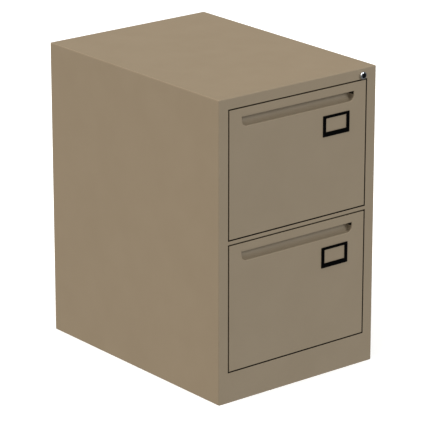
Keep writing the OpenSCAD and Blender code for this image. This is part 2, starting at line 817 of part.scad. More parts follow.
// Drawer back: a plate across the tray's rear end with flanges folded forwards inside it
module drawer_back(base) color([0.50, 0.45, 0.37]) {
  z = tray_z(base);
  t = drawer_sheet;
  rear = tray_y + tray_l;
  outside = tray_outside(base);
  along_y(rear, t) polygon(concat(outside, flipped(outside)));
  for (side = [-1, 1]) on_side(side)
    box([tray_half - 2 * t, rear - tab_l, z + t + tab_l],
      [tray_half - t, rear + t / 2, z + step_z - tab_l]);
  box([-tray_half + t + tab_l, rear - tab_l, z + t],
    [tray_half - t - tab_l, rear + t / 2, z + 2 * t]);
}

// Card holder: a flat frame with a pocket behind its window
module card_holder(base) color([0.05, 0.05, 0.05]) {
  y = front_y - card_t;
  window_w = card_w - 2 * card_side_bar;
  window_h = card_h - card_top_bar - card_low_bar;
  translate([card_x, 0, base + card_z]) difference() {
    box([0, y, 0], [card_w, front_y, card_h]);
    box([card_side_bar, y - past, card_low_bar],
      [card_side_bar + window_w, front_y + past, card_low_bar + window_h]);
    box([card_side_bar - card_lap, front_y - card_pocket, card_low_bar - card_lap],
      [card_side_bar + window_w + card_lap, front_y + past, card_h + past]);
  }
}

// Striker: an angle on the tray's right side that the lock bar's tongue blocks
module lock_striker(base) color([0.66, 0.66, 0.64]) {
  z = striker_z(base);
  y = bar_y + bar_t + tongue_clear;
  box([rail_half, y, z - striker_h / 2],
    [rail_half + striker_base_t, y + 2 * striker_h, z + 1.5 * striker_h]);
  box([rail_half, y, z], [striker_reach, y + striker_t, z + striker_h]);
}

outer_wrap();
back_panel();
top_stiffener();
base_pan();
front_plinth();
middle_rail();
left_front_upright();
left_rear_upright();
right_front_upright();
right_rear_upright();
foot_brackets();
lock_housing();
lock_clip();
lock_bar_guides();
lock_plug();
lock_cam();
lock_bar();
foot(-1, front_y + foot_inset);  // front_left_foot
foot(1, front_y + foot_inset);  // front_right_foot
foot(-1, back_y - foot_inset);  // rear_left_foot
foot(1, back_y - foot_inset);  // rear_right_foot

slide_outer(-1, upper_z);  // upper_left_slide_outer
slide_outer(1, upper_z);  // upper_right_slide_outer
slide_buffers(upper_z);  // upper_slide_buffers
slide_middle(-1, upper_z);  // upper_left_slide_middle
slide_middle(1, upper_z);  // upper_right_slide_middle
slide_inner(-1, upper_z);  // upper_left_slide_inner
slide_inner(1, upper_z);  // upper_right_slide_inner
outer_ball_cages(upper_z);  // upper_outer_ball_cages
outer_balls(upper_z);  // upper_outer_balls
inner_ball_cages(upper_z);  // upper_inner_ball_cages
inner_balls(upper_z);  // upper_inner_balls
drawer_front(upper_z);  // upper_drawer_front
front_liner(upper_z);  // upper_front_liner
pull_cup(upper_z);  // upper_pull_cup
drawer_tray(upper_z);  // upper_drawer_tray
drawer_back(upper_z);  // upper_drawer_back
card_holder(upper_z);  // upper_card_holder
lock_striker(upper_z);  // upper_lock_striker
slide_screws(upper_z);  // upper_slide_screws

slide_outer(-1, lower_z);  // lower_left_slide_outer
slide_outer(1, lower_z);  // lower_right_slide_outer
slide_buffers(lower_z);  // lower_slide_buffers
slide_middle(-1, lower_z);  // lower_left_slide_middle
slide_middle(1, lower_z);  // lower_right_slide_middle
slide_inner(-1, lower_z);  // lower_left_slide_inner
slide_inner(1, lower_z);  // lower_right_slide_inner
outer_ball_cages(lower_z);  // lower_outer_ball_cages
outer_balls(lower_z);  // lower_outer_balls
inner_ball_cages(lower_z);  // lower_inner_ball_cages
inner_balls(lower_z);  // lower_inner_balls
drawer_front(lower_z);  // lower_drawer_front
front_liner(lower_z);  // lower_front_liner
pull_cup(lower_z);  // lower_pull_cup
drawer_tray(lower_z);  // lower_drawer_tray
drawer_back(lower_z);  // lower_drawer_back
card_holder(lower_z);  // lower_card_holder
lock_striker(lower_z);  // lower_lock_striker
slide_screws(lower_z);  // lower_slide_screws
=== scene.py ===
# A two-drawer steel filing cabinet, taken piece by piece in the order in which it is put together.
# Metres. +X is to the right of someone facing the drawers, -Y is the way they open, +Z is up.

import math

import bmesh
import bpy
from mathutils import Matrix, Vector


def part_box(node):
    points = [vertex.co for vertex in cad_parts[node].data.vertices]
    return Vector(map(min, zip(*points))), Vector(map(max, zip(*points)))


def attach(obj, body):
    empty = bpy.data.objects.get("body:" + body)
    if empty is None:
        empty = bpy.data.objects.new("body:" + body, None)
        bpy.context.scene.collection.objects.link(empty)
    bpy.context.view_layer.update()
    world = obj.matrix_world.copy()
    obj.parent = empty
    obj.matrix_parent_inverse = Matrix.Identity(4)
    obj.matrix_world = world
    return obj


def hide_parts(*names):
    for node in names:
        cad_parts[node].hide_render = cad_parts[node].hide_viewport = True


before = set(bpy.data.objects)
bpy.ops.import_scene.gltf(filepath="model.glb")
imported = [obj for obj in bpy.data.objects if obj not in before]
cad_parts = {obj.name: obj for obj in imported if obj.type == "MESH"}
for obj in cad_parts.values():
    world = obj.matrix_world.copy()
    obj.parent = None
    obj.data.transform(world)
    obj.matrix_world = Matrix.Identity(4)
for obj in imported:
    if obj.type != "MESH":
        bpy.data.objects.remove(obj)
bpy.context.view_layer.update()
MM = 0.001

# ---------------------------------------------------------------------------------------------
# Camera: a long lens far off the left front corner and above the top, looking slightly down, so
# that upright edges stay nearly parallel.
# ---------------------------------------------------------------------------------------------
LENS_MM = 234.4
CAMERA_AT = (-3.877, -4.817, 2.403)
CAMERA_TURN = math.radians(38.90)
CAMERA_DIP = math.radians(18.60)

bpy.ops.object.camera_add(
    location=CAMERA_AT, rotation=(math.pi / 2 - CAMERA_DIP, 0, -CAMERA_TURN)
)
camera = bpy.context.object
camera.name = "camera"
camera.data.sensor_width = 36
camera.data.lens = LENS_MM
camera.data.clip_end = 200
bpy.context.scene.camera = camera

# ---------------------------------------------------------------------------------------------
# Studio: a pale surround, a broad soft light above and to the left, a second one lower in front,
# and a floor of matt white board, faintly lit from below to keep its shadows pale. The colours
# are shown straight, with no film curve.
# ---------------------------------------------------------------------------------------------
FLOOR_SIZE = 80
LIT_FROM_BELOW = 0.35
SKY_STRENGTH = 0.74
GROUND_STRENGTH = 0.62
HORIZON_BLEND = 0.1
BACKDROP_STRENGTH = 1.15
MIRRORED_DARK = 0.16
MIRRORED_BRIGHT = 1.6
MIRRORED_FROM, MIRRORED_FULL = 0.45, 0.8
FRONT_LEFT_SIDE = (-0.55, -0.20, 0.81)
WARM_SPREAD = 0.8
WARM_SIDE = (-0.45, 0.80, 0.40)
WARM_WHITE = (1.04, 1.00, 0.95, 1)
COOL_WHITE = (0.95, 1.00, 1.06, 1)


def srgb(code):
    """The linear colour of an sRGB hex code."""
    parts = [int(code[i : i + 2], 16) / 255 for i in (1, 3, 5)]
    linear = [p / 12.92 if p <= 0.04045 else ((p + 0.055) / 1.055) ** 2.4 for p in parts]
    return (*linear, 1.0)


def add_node(tree, kind, settings=None, links=None):
    """Adds a node: a setting is an input socket's value or a property, a link feeds a socket."""
    node = tree.nodes.new(kind)
    for key, value in (settings or {}).items():
        if isinstance(key, int) or key in node.inputs:
            node.inputs[key].default_value = value
        else:
            setattr(node, key, value)
    for key, source in (links or {}).items():
        tree.links.new(source, node.inputs[key])
    return node


bpy.context.scene.view_settings.view_transform = "Standard"
surround = bpy.data.worlds.new("surround")
surround.use_nodes = True
sky = surround.node_tree
outward = add_node(sky, "ShaderNodeTexCoord").outputs["Generated"]
height = add_node(sky, "ShaderNodeSeparateXYZ", None, {0: outward}).outputs["Z"]
lit_side = add_node(
    sky, "ShaderNodeVectorMath", {"operation": "DOT_PRODUCT", 1: FRONT_LEFT_SIDE}, {0: outward}
)
warm_side = add_node(
    sky, "ShaderNodeVectorMath", {"operation": "DOT_PRODUCT", 1: WARM_SIDE}, {0: outward}
)
even = add_node(
    sky,
    "ShaderNodeMapRange",
    {
        "From Min": -HORIZON_BLEND,
        "From Max": HORIZON_BLEND,
        "To Min": GROUND_STRENGTH,
        "To Max": SKY_STRENGTH,
    },
    {"Value": height},
)
mirrored = add_node(
    sky,
    "ShaderNodeMapRange",
    {
        "From Min": MIRRORED_FROM,
        "From Max": MIRRORED_FULL,
        "To Min": MIRRORED_DARK,
        "To Max": MIRRORED_BRIGHT,
    },
    {"Value": lit_side.outputs["Value"]},
)
ray = add_node(sky, "ShaderNodeLightPath")
strength = add_node(
    sky,
    "ShaderNodeMix",
    {"data_type": "FLOAT"},
    {0: ray.outputs["Is Glossy Ray"], 2: even.outputs["Result"], 3: mirrored.outputs["Result"]},
)
backdrop = add_node(
    sky,
    "ShaderNodeMix",
    {"data_type": "FLOAT", 3: BACKDROP_STRENGTH},
    {0: ray.outputs["Is Camera Ray"], 2: strength.outputs[0]},
)
warmth = add_node(
    sky,
    "ShaderNodeMapRange",
    {"From Min": -WARM_SPREAD, "From Max": WARM_SPREAD},
    {"Value": warm_side.outputs["Value"]},
)
white = add_node(
    sky,
    "ShaderNodeMix",
    {"data_type": "RGBA", 6: COOL_WHITE, 7: WARM_WHITE},
    {0: warmth.outputs["Result"]},
)
sky.links.new(white.outputs[2], sky.nodes["Background"].inputs["Color"])
sky.links.new(backdrop.outputs[0], sky.nodes["Background"].inputs["Strength"])
bpy.context.scene.world = surround

# Each light: name, strength, its size as an angle, colour, lean from straight down, turn about Z.
for name, energy, angle, colour, lean, round_z in (
    ("key_light", 1.64, 50, (1.0, 0.97, 0.92), 45, 252),
    ("front_light", 0.96, 20, (0.96, 1.0, 1.03), 62, 25),
):
    bpy.ops.object.light_add(type="SUN", rotation=(math.radians(lean), 0, math.radians(round_z)))
    light = bpy.context.object
    light.name = name
    light.data.energy = energy
    light.data.angle = math.radians(angle)
    light.data.color = colour

bpy.ops.mesh.primitive_plane_add(size=FLOOR_SIZE)
floor = bpy.context.object
floor.name = "floor"
floor.visible_glossy = False
floor.visible_diffuse = False
board = bpy.data.materials.new("matt_white_board")
board.use_nodes = True
board_shader = board.node_tree.nodes["Principled BSDF"]
board_shader.inputs["Base Color"].default_value = srgb("#F7F7F6")
board_shader.inputs["Roughness"].default_value = 0.9
board_shader.inputs["Specular IOR Level"].default_value = 0.1
board_shader.inputs["Emission Color"].default_value = (1, 1, 1, 1)
board_shader.inputs["Emission Strength"].default_value = LIT_FROM_BELOW
floor.data.materials.append(board)

# ---------------------------------------------------------------------------------------------
# Case shell: sides, top, stiles, rails and plinth in 0.9 mm mild steel, folded on a press brake,
# welded at the corners, ground flush and powder coated: no seam shows. The powder flows into a
# faint orange peel, satin and slightly cloudy. The faces inside the gaps are painted darker, as
# painted shade.
# ---------------------------------------------------------------------------------------------
NEAR = 1e-5
FLAT = 0.999
FOLD_SEGMENTS = 6
CASE_SHEET = 0.9 * MM
CASE_FOLD_R = 2.5 * MM
LIP_DEPTH = 18 * MM
LIP_FOLD_R = 1.2 * MM
BOTTOM_FLANGE = 15 * MM
REAR_FLANGE = 14 * MM
FRONT_GAP = 3 * MM
SMOOTH_ANGLE = math.radians(32)
CLOUD_SIZE = 90 * MM
PEEL_CELL = 2.2 * MM
PUNCH_DEPTH = 8 * MM
PUNCH_STEPS = 48


def stoved_paint(name, pale, deep, roughness, specular, peel):
    """Paint stoved on steel: cloudy colour, cells of orange peel, and gloss that drifts a little.

    The cloudiness is a hand wide. Orange peel has cells of about 2 mm and is 10 to 20 microns
    deep; it is drawn a little deeper so that it still shows.
    """
    paint = bpy.data.materials.new(name)
    paint.use_nodes = True
    tree = paint.node_tree
    shader = tree.nodes["Principled BSDF"]
    place = add_node(tree, "ShaderNodeTexCoord").outputs["Object"]
    clouds = add_node(
        tree, "ShaderNodeTexNoise", {"Scale": 1 / CLOUD_SIZE, "Detail": 4.0}, {"Vector": place}
    )
    cells = add_node(
        tree,
        "ShaderNodeTexNoise",
        {"Scale": 1 / PEEL_CELL, "Detail": 2.0, "Roughness": 0.4},
        {"Vector": place},
    )
    drift = add_node(
        tree,
        "ShaderNodeMapRange",
        {"From Min": 0.3, "From Max": 0.7},
        {"Value": clouds.outputs["Fac"]},
    )
    speck = add_node(
        tree,
        "ShaderNodeMapRange",
        {"From Min": 0.25, "From Max": 0.75, "To Min": -0.25, "To Max": 0.25},
        {"Value": cells.outputs["Fac"]},
    )
    both = add_node(
        tree,
        "ShaderNodeMath",
        {"operation": "ADD", "use_clamp": True},
        {0: drift.outputs["Result"], 1: speck.outputs["Result"]},
    )
    colour = add_node(
        tree,
        "ShaderNodeMix",
        {"data_type": "RGBA", 6: srgb(pale), 7: srgb(deep)},
        {0: both.outputs["Value"]},
    )
    gloss = add_node(
        tree,
        "ShaderNodeMapRange",
        {"To Min": roughness - 0.05, "To Max": roughness + 0.05},
        {"Value": clouds.outputs["Fac"]},
    )
    bump = add_node(
        tree,
        "ShaderNodeBump",
        {"Strength": 0.5, "Distance": peel},
        {"Height": cells.outputs["Fac"]},
    )
    shader.inputs["Specular IOR Level"].default_value = specular
    tree.links.new(colour.outputs[2], shader.inputs["Base Color"])
    tree.links.new(gloss.outputs["Result"], shader.inputs["Roughness"])
    tree.links.new(bump.outputs["Normal"], shader.inputs["Normal"])
    return paint


def start_block(name, low, high):
    """A block between two corners, as the start of a piece, with its place in its mesh."""
    bpy.ops.object.select_all(action="DESELECT")
    bpy.ops.mesh.primitive_cube_add(size=1, location=(low + high) / 2, scale=high - low)
    bpy.ops.object.transform_apply(location=True, rotation=True, scale=True)
    piece = bpy.context.object
    piece.name = piece.data.name = name
    bpy.ops.object.mode_set(mode="EDIT")
    return piece


def near(a, b):
    return abs(a - b) < NEAR


def pick_faces(piece, wanted):
    """Selects the faces for which wanted(middle, normal) holds."""
    bpy.ops.mesh.select_mode(type="FACE")
    bpy.ops.mesh.select_all(action="DESELECT")
    mesh = bmesh.from_edit_mesh(piece.data)
    for face in mesh.faces:
        face.select_set(bool(wanted(face.calc_center_median(), face.normal)))
    bmesh.update_edit_mesh(piece.data)


def pick_edges(piece, wanted):
    """Selects the edges for which wanted(middle, direction, is it a free edge) holds."""
    bpy.ops.mesh.select_mode(type="EDGE")
    bpy.ops.mesh.select_all(action="DESELECT")
    mesh = bmesh.from_edit_mesh(piece.data)
    for edge in mesh.edges:
        start, end = (v.co for v in edge.verts)
        edge.select_set(
            bool(wanted((start + end) / 2, (end - start).normalized(), edge.is_boundary))
        )
    bmesh.update_edit_mesh(piece.data)


def select_only(piece):
    bpy.ops.object.select_all(action="DESELECT")
    piece.select_set(True)
    bpy.context.view_layer.objects.active = piece


def extrude(x, y, z):
    bpy.ops.mesh.extrude_region_move(TRANSFORM_OT_translate={"value": (x, y, z)})


def apply_modifier(piece, kind, **settings):
    modifier = piece.modifiers.new(kind.lower(), kind)
    for key, value in settings.items():
        setattr(modifier, key, value)
    bpy.ops.object.modifier_apply(modifier=modifier.name)


def thicken(piece, sheet):
    """Turns the drawn outer skin into sheet of the real thickness, inwards from the skin."""
    bpy.ops.mesh.select_all(action="SELECT")
    bpy.ops.mesh.remove_doubles(threshold=NEAR)
    bpy.ops.mesh.normals_make_consistent(inside=False)
    bpy.ops.object.mode_set(mode="OBJECT")
    apply_modifier(piece, "SOLIDIFY", thickness=sheet, offset=-1, use_even_offset=True)


def finish_piece(piece, material, body, slot, *nodes):
    """Smooths the folds but not the flats, gives the finish, and puts the piece in its place."""
    bpy.ops.object.shade_smooth_by_angle(angle=SMOOTH_ANGLE)
    apply_modifier(piece, "WEIGHTED_NORMAL", keep_sharp=True)
    if not piece.data.materials:
        piece.data.materials.append(material)
    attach(piece, body)
    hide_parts(*nodes)


coffee_powder_coat = stoved_paint(
    "coffee_powder_coat", "#93836C", "#908069", 0.55, 0.3, 0.08 * MM
)

# Painted shade: near-black paint on the lips inside the gaps round the openings and under the
# pull's hood, darkening them as shade would.
lip_painted_shade = stoved_paint("painted_shade_on_lips", "#2E2921", "#28231C", 0.75, 0.05, 0.12 * MM)
# Painted shade: a darker paint on the drawer pan's folded sides, seen through the gaps, to darken
# the gap lines.
pan_side_painted_shade = stoved_paint("painted_shade_on_pan_sides", "#5C513F", "#564C3B", 0.7, 0.1, 0.12 * MM)


def paint_shade_in_gaps(piece, coat, wanted):
    """Paints shade on the faces for which wanted(middle, normal) holds, as a darker coat."""
    if not piece.data.materials:
        piece.data.materials.append(coffee_powder_coat)
    piece.data.materials.append(coat)
    bpy.ops.object.mode_set(mode="EDIT")
    pick_faces(piece, wanted)
    piece.active_material_index = len(piece.data.materials) - 1
    bpy.ops.object.material_slot_assign()
    bpy.ops.object.mode_set(mode="OBJECT")


case_low, case_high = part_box("outer_wrap")
plinth_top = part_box("front_plinth")[1].z
opening_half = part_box("front_plinth")[1].x
rail_low, rail_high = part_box("middle_rail")[0].z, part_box("middle_rail")[1].z
upper_low, upper_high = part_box("upper_drawer_front")
lower_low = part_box("lower_drawer_front")[0]
front_y = case_low.y
top_rail_z = upper_high.z + FRONT_GAP

shell = start_block("case_shell", case_low, case_high)
pick_edges(shell, lambda m, d, free: abs(d.x) < 0.5 or m.z > case_low.z + NEAR)
bpy.ops.mesh.bevel(offset=CASE_FOLD_R, segments=FOLD_SEGMENTS, affect="EDGES")

pick_faces(shell, lambda m, n: n.y > FLAT)
bpy.ops.mesh.inset(thickness=REAR_FLANGE - CASE_FOLD_R, use_even_offset=True)
bpy.ops.mesh.delete(type="FACE")
pick_faces(shell, lambda m, n: n.y > FLAT and m.z < REAR_FLANGE)
bpy.ops.mesh.delete(type="FACE")

pick_faces(shell, lambda m, n: n.z < -FLAT)
bpy.ops.mesh.inset(thickness=BOTTOM_FLANGE - CASE_FOLD_R, use_even_offset=True)
bpy.ops.mesh.delete(type="FACE")
pick_faces(shell, lambda m, n: n.z < -FLAT and m.y > case_high.y - BOTTOM_FLANGE)
bpy.ops.mesh.delete(type="FACE")

for cut_x in (-opening_half, opening_half):
    pick_faces(shell, lambda m, n: n.y < -FLAT)
    bpy.ops.mesh.bisect(plane_co=(cut_x, 0, 0), plane_no=(1, 0, 0))
for cut_z in (plinth_top, rail_low, rail_high, top_rail_z):
    pick_faces(shell, lambda m, n: n.y < -FLAT)
    bpy.ops.mesh.bisect(plane_co=(0, 0, cut_z), plane_no=(0, 0, 1))
pick_faces(
    shell,
    lambda m, n: n.y < -FLAT
    and abs(m.x) < opening_half
    and (plinth_top < m.z < rail_low or rail_high < m.z < top_rail_z),
)
bpy.ops.mesh.delete(type="FACE")


def on_opening(m, d, free):
    """True for the edges round the two drawer openings, in the face's plane."""
    return (
        near(m.y, front_y)
        and abs(m.x) < opening_half + NEAR
        and m.z > plinth_top - NEAR
        and m.z < top_rail_z + NEAR
        and (
            (near(abs(m.x), opening_half) and not rail_low < m.z < rail_high)
            or any(near(m.z, z) for z in (plinth_top, rail_low, rail_high, top_rail_z))
        )
    )


pick_edges(shell, on_opening)
extrude(0, LIP_DEPTH, 0)
pick_edges(shell, on_opening)
bpy.ops.mesh.bevel(offset=LIP_FOLD_R, segments=3, affect="EDGES")
thicken(shell, CASE_SHEET)

lock_low, lock_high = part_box("lock_housing")
lock_x, lock_z = (lock_low.x + lock_high.x) / 2, (lock_low.z + lock_high.z) / 2
BARREL_R = 7.7 * MM
BARREL_PLAY = 0.05 * MM
bpy.ops.mesh.primitive_cylinder_add(
    vertices=PUNCH_STEPS,
    radius=BARREL_R + BARREL_PLAY,
    depth=PUNCH_DEPTH,
    location=(lock_x, front_y, lock_z),
    rotation=(math.pi / 2, 0, 0),
)
punch = bpy.context.object
bpy.context.view_layer.objects.active = shell
apply_modifier(shell, "BOOLEAN", operation="DIFFERENCE", object=punch, solver="EXACT")
bpy.data.objects.remove(punch)
select_only(shell)
# Painted shade on the lips inside the drawer openings, which darkens the gaps round the drawers.
paint_shade_in_gaps(
    shell,
    lip_painted_shade,
    lambda m, n: front_y + LIP_FOLD_R / 3 < m.y < front_y + LIP_DEPTH
    and abs(m.x) < opening_half + 2 * CASE_SHEET
    and plinth_top - 2 * CASE_SHEET < m.z < top_rail_z + 2 * CASE_SHEET
    and abs(n.y) < 0.8,
)
finish_piece(
    shell,
    coffee_powder_coat,
    "cabinet",
    "coffee_powder_coat",
    "outer_wrap",
    "front_plinth",
    "middle_rail",
)

# ---------------------------------------------------------------------------------------------
# Back panel: the same sheet, pressed inwards in its middle to stiffen it, and spot welded inside
# the rear flanges. It only gets a thin, more matt coat.
# ---------------------------------------------------------------------------------------------
PRESS_BORDER = 39.1 * MM
PRESS_BORDER_LOW = 74 * MM
PRESS_DEPTH = 3 * MM
PRESS_SLOPE = 3 * MM
PRESS_R = 1.4 * MM

coffee_primer_coat = stoved_paint(
    "coffee_primer_coat", "#867862", "#83755F", 0.68, 0.25, 0.12 * MM
)

panel_low, panel_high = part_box("back_panel")
press_middle = (panel_low.z + PRESS_BORDER_LOW + panel_high.z - PRESS_BORDER) / 2
panel = start_block("back_sheet", panel_low, panel_high)
pick_faces(panel, lambda m, n: n.y < FLAT)
bpy.ops.mesh.delete(type="FACE")
pick_faces(panel, lambda m, n: True)
bpy.ops.mesh.inset(thickness=PRESS_BORDER, use_even_offset=True)
pick_edges(panel, lambda m, d, free: near(m.z, panel_low.z + PRESS_BORDER))
bpy.ops.transform.translate(value=(0, 0, PRESS_BORDER_LOW - PRESS_BORDER))
pick_faces(panel, lambda m, n: near(m.x, 0) and near(m.z, press_middle))
bpy.ops.mesh.inset(thickness=PRESS_SLOPE, use_even_offset=True)
bpy.ops.transform.translate(value=(0, -PRESS_DEPTH, 0))
pick_edges(panel, lambda m, d, free: not free and (abs(d.z) > FLAT or abs(d.x) > FLAT))
bpy.ops.mesh.bevel(offset=PRESS_R, segments=3, affect="EDGES")
thicken(panel, CASE_SHEET)
finish_piece(panel, coffee_primer_coat, "cabinet", "coffee_primer_coat", "back_panel")

# ---------------------------------------------------------------------------------------------
# Inside of the case: hat channel under the top and base pan, in the same thin coat; hat uprights
# and foot brackets in bright zinc plate, which has a fine, cool, slightly blotchy grain.
# ---------------------------------------------------------------------------------------------


def plated_steel(name, pale, deep, roughness, grain, blotch):
    """Plated or bare steel. grain is its mark's size each way, drawn at least 0.4 mm wide."""
    plate = bpy.data.materials.new(name)
    plate.use_nodes = True
    tree = plate.node_tree
    shader = tree.nodes["Principled BSDF"]
    place = add_node(tree, "ShaderNodeTexCoord").outputs["Object"]
    along = add_node(
        tree, "ShaderNodeMapping", {"Scale": [1 / g for g in grain]}, {"Vector": place}
    )
    lines = add_node(
        tree,
        "ShaderNodeTexNoise",
        {"Scale": 1.0, "Detail": 3.0},
        {"Vector": along.outputs["Vector"]},
    )
    stains = add_node(
        tree, "ShaderNodeTexNoise", {"Scale": 1 / blotch, "Detail": 3.0}, {"Vector": place}
    )
    shade = add_node(
        tree,
        "ShaderNodeMapRange",
        {"From Min": 0.3, "From Max": 0.7},
        {"Value": stains.outputs["Fac"]},
    )
    colour = add_node(
        tree,
        "ShaderNodeMix",
        {"data_type": "RGBA", 6: srgb(pale), 7: srgb(deep)},
        {0: shade.outputs["Result"]},
    )
    gloss = add_node(
        tree,
        "ShaderNodeMapRange",
        {"From Min": 0.3, "From Max": 0.7, "To Min": roughness * 0.9, "To Max": roughness * 1.12},
        {"Value": lines.outputs["Fac"]},
    )
    bump = add_node(
        tree,
        "ShaderNodeBump",
        {"Strength": 0.1, "Distance": 0.01 * MM},
        {"Height": lines.outputs["Fac"]},
    )
    shader.inputs["Metallic"].default_value = 1.0
    tree.links.new(colour.outputs[2], shader.inputs["Base Color"])
    tree.links.new(gloss.outputs["Result"], shader.inputs["Roughness"])
    tree.links.new(bump.outputs["Normal"], shader.inputs["Normal"])
    return plate


def refinish(material, *nodes):
    """Gives modelled frame pieces their finish; their shapes stay."""
    for node in nodes:
        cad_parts[node].material_slots[0].material = material


zinc_plate = plated_steel(
    "bright_zinc_plate", "#C3C5C6", "#A3A6A8", 0.38, (0.6 * MM, 0.6 * MM, 9 * MM), 14 * MM
)
refinish(coffee_primer_coat, "top_stiffener", "base_pan")
refinish(
    zinc_plate,
    "left_front_upright",
    "left_rear_upright",
    "right_front_upright",
    "right_rear_upright",
    "foot_brackets",
)

# ---------------------------------------------------------------------------------------------
# Levelling feet: glass-filled polyamide pads moulded over steel screws, dull black, with the
# faint grain of a spark-eroded mould.
# ---------------------------------------------------------------------------------------------


def moulded(name, pale, deep, roughness, grain):
    """A moulded plastic or rubber: even colour, a fine grain in its surface, patchy gloss."""
    plastic = bpy.data.materials.new(name)
    plastic.use_nodes = True
    tree = plastic.node_tree
    shader = tree.nodes["Principled BSDF"]
    place = add_node(tree, "ShaderNodeTexCoord").outputs["Object"]
    fine = add_node(
        tree, "ShaderNodeTexNoise", {"Scale": 1 / grain, "Detail": 2.0}, {"Vector": place}
    )
    patch = add_node(
        tree, "ShaderNodeTexNoise", {"Scale": 1 / (12 * MM), "Detail": 2.0}, {"Vector": place}
    )
    colour = add_node(
        tree,
        "ShaderNodeMix",
        {"data_type": "RGBA", 6: srgb(pale), 7: srgb(deep)},
        {0: patch.outputs["Fac"]},
    )
    gloss = add_node(
        tree,
        "ShaderNodeMapRange",
        {"To Min": roughness - 0.08, "To Max": roughness + 0.08},
        {"Value": patch.outputs["Fac"]},
    )
    bump = add_node(
        tree,
        "ShaderNodeBump",
        {"Strength": 0.5, "Distance": 0.05 * MM},
        {"Height": fine.outputs["Fac"]},
    )
    tree.links.new(colour.outputs[2], shader.inputs["Base Color"])
    tree.links.new(gloss.outputs["Result"], shader.inputs["Roughness"])
    tree.links.new(bump.outputs["Normal"], shader.inputs["Normal"])
    return plastic


black_polyamide = moulded("black_polyamide", "#1D1D1E", "#141415", 0.5, 0.6 * MM)
refinish(
    black_polyamide, "front_left_foot", "front_right_foot", "rear_left_foot", "rear_right_foot"
)

# ---------------------------------------------------------------------------------------------
# Lock: a zinc die casting, bright chromed on its bezel, with a black sunk face; the barrel goes
# through the top rail and a spring clip holds it. The plug is black-plated zinc. Behind it a cam
# lifts a plated flat bar in white nylon guides.
# ---------------------------------------------------------------------------------------------
BEZEL_R = 9 * MM
BEZEL_PROUD = 6 * MM
BEZEL_ROUND = 2.8 * MM
FACE_R = 6.0 * MM
BORE_R = 5.55 * MM
FACE_SUNK = 0.5 * MM
BEZEL_STEPS = 64

chrome = plated_steel(
    "bright_chrome", "#E4E5E7", "#D4D6D9", 0.09, (0.5 * MM, 0.5 * MM, 0.5 * MM), 6 * MM
)
black_plate = stoved_paint("black_lock_plate", "#0C0D10", "#08090B", 0.3, 0.25, 0.03 * MM)
white_nylon = moulded("white_nylon", "#DDDACE", "#D2CFC2", 0.45, 0.8 * MM)

bpy.ops.object.select_all(action="DESELECT")
bpy.ops.mesh.primitive_cylinder_add(
    vertices=BEZEL_STEPS,
    radius=BEZEL_R,
    depth=BEZEL_PROUD,
    location=(lock_x, front_y - BEZEL_PROUD / 2, lock_z),
    rotation=(math.pi / 2, 0, 0),
)
bpy.ops.object.transform_apply(location=True, rotation=True, scale=True)
housing = bpy.context.object
housing.name = housing.data.name = "lock_bezel"
bezel_y = front_y - BEZEL_PROUD
bpy.ops.object.mode_set(mode="EDIT")
pick_edges(housing, lambda m, d, free: near(m.y, bezel_y))
bpy.ops.mesh.bevel(offset=BEZEL_ROUND, segments=8, affect="EDGES")
pick_faces(housing, lambda m, n: n.y < -FLAT and near(m.y, bezel_y) and near(m.x, lock_x))
bpy.ops.mesh.inset(thickness=BEZEL_R - BEZEL_ROUND - FACE_R)
extrude(0, FACE_SUNK, 0)
bpy.ops.mesh.inset(thickness=FACE_R - BORE_R)
pick_faces(housing, lambda m, n: n.y > FLAT)
bpy.ops.mesh.inset(thickness=BEZEL_R - BARREL_R)
extrude(0, lock_high.y - front_y, 0)
bpy.ops.mesh.inset(thickness=BARREL_R - BORE_R)
pick_faces(
    housing,
    lambda m, n: abs(n.y) > FLAT and (m - Vector((lock_x, m.y, lock_z))).length < NEAR,
)
bpy.ops.mesh.bridge_edge_loops()
housing.data.materials.append(chrome)
housing.data.materials.append(black_plate)
pick_faces(
    housing,
    lambda m, n: near(m.y, bezel_y + FACE_SUNK)
    and (m.xz - Vector((lock_x, lock_z))).length < FACE_R,
)
housing.active_material_index = 1
bpy.ops.object.material_slot_assign()
bpy.ops.object.mode_set(mode="OBJECT")
finish_piece(housing, chrome, "cabinet", "chromed_zinc", "lock_housing")
refinish(black_plate, "lock_plug")
refinish(zinc_plate, "lock_clip", "lock_cam", "lock_bar")
refinish(white_nylon, "lock_bar_guides")

# ---------------------------------------------------------------------------------------------
# Slides: roll-formed cold-rolled strip with clear zinc, drawn lines along its length; balls of
# ground bearing steel in cages of thin steel; rubber buffers at the rear.
# ---------------------------------------------------------------------------------------------
slide_steel = plated_steel(
    "zinc_slide_strip", "#D2D4D6", "#BEC1C3", 0.36, (0.5 * MM, 60 * MM, 0.5 * MM), 30 * MM
)
cage_steel = plated_steel(
    "cage_strip", "#8E8F8E", "#777978", 0.35, (0.5 * MM, 20 * MM, 0.5 * MM), 10 * MM
)
bearing_steel = plated_steel(
    "ground_bearing_steel", "#D8D9DB", "#C6C8CA", 0.1, (0.5 * MM, 0.5 * MM, 0.5 * MM), 4 * MM
)
black_rubber = moulded("black_rubber", "#1A1A1A", "#121212", 0.8, 0.7 * MM)
for drawer in ("upper", "lower"):
    for side in ("left", "right"):
        for member in ("outer", "middle", "inner"):
            refinish(slide_steel, f"{drawer}_{side}_slide_{member}")
    refinish(cage_steel, f"{drawer}_outer_ball_cages", f"{drawer}_inner_ball_cages")
    refinish(bearing_steel, f"{drawer}_outer_balls", f"{drawer}_inner_balls")
    refinish(black_rubber, f"{drawer}_slide_buffers")

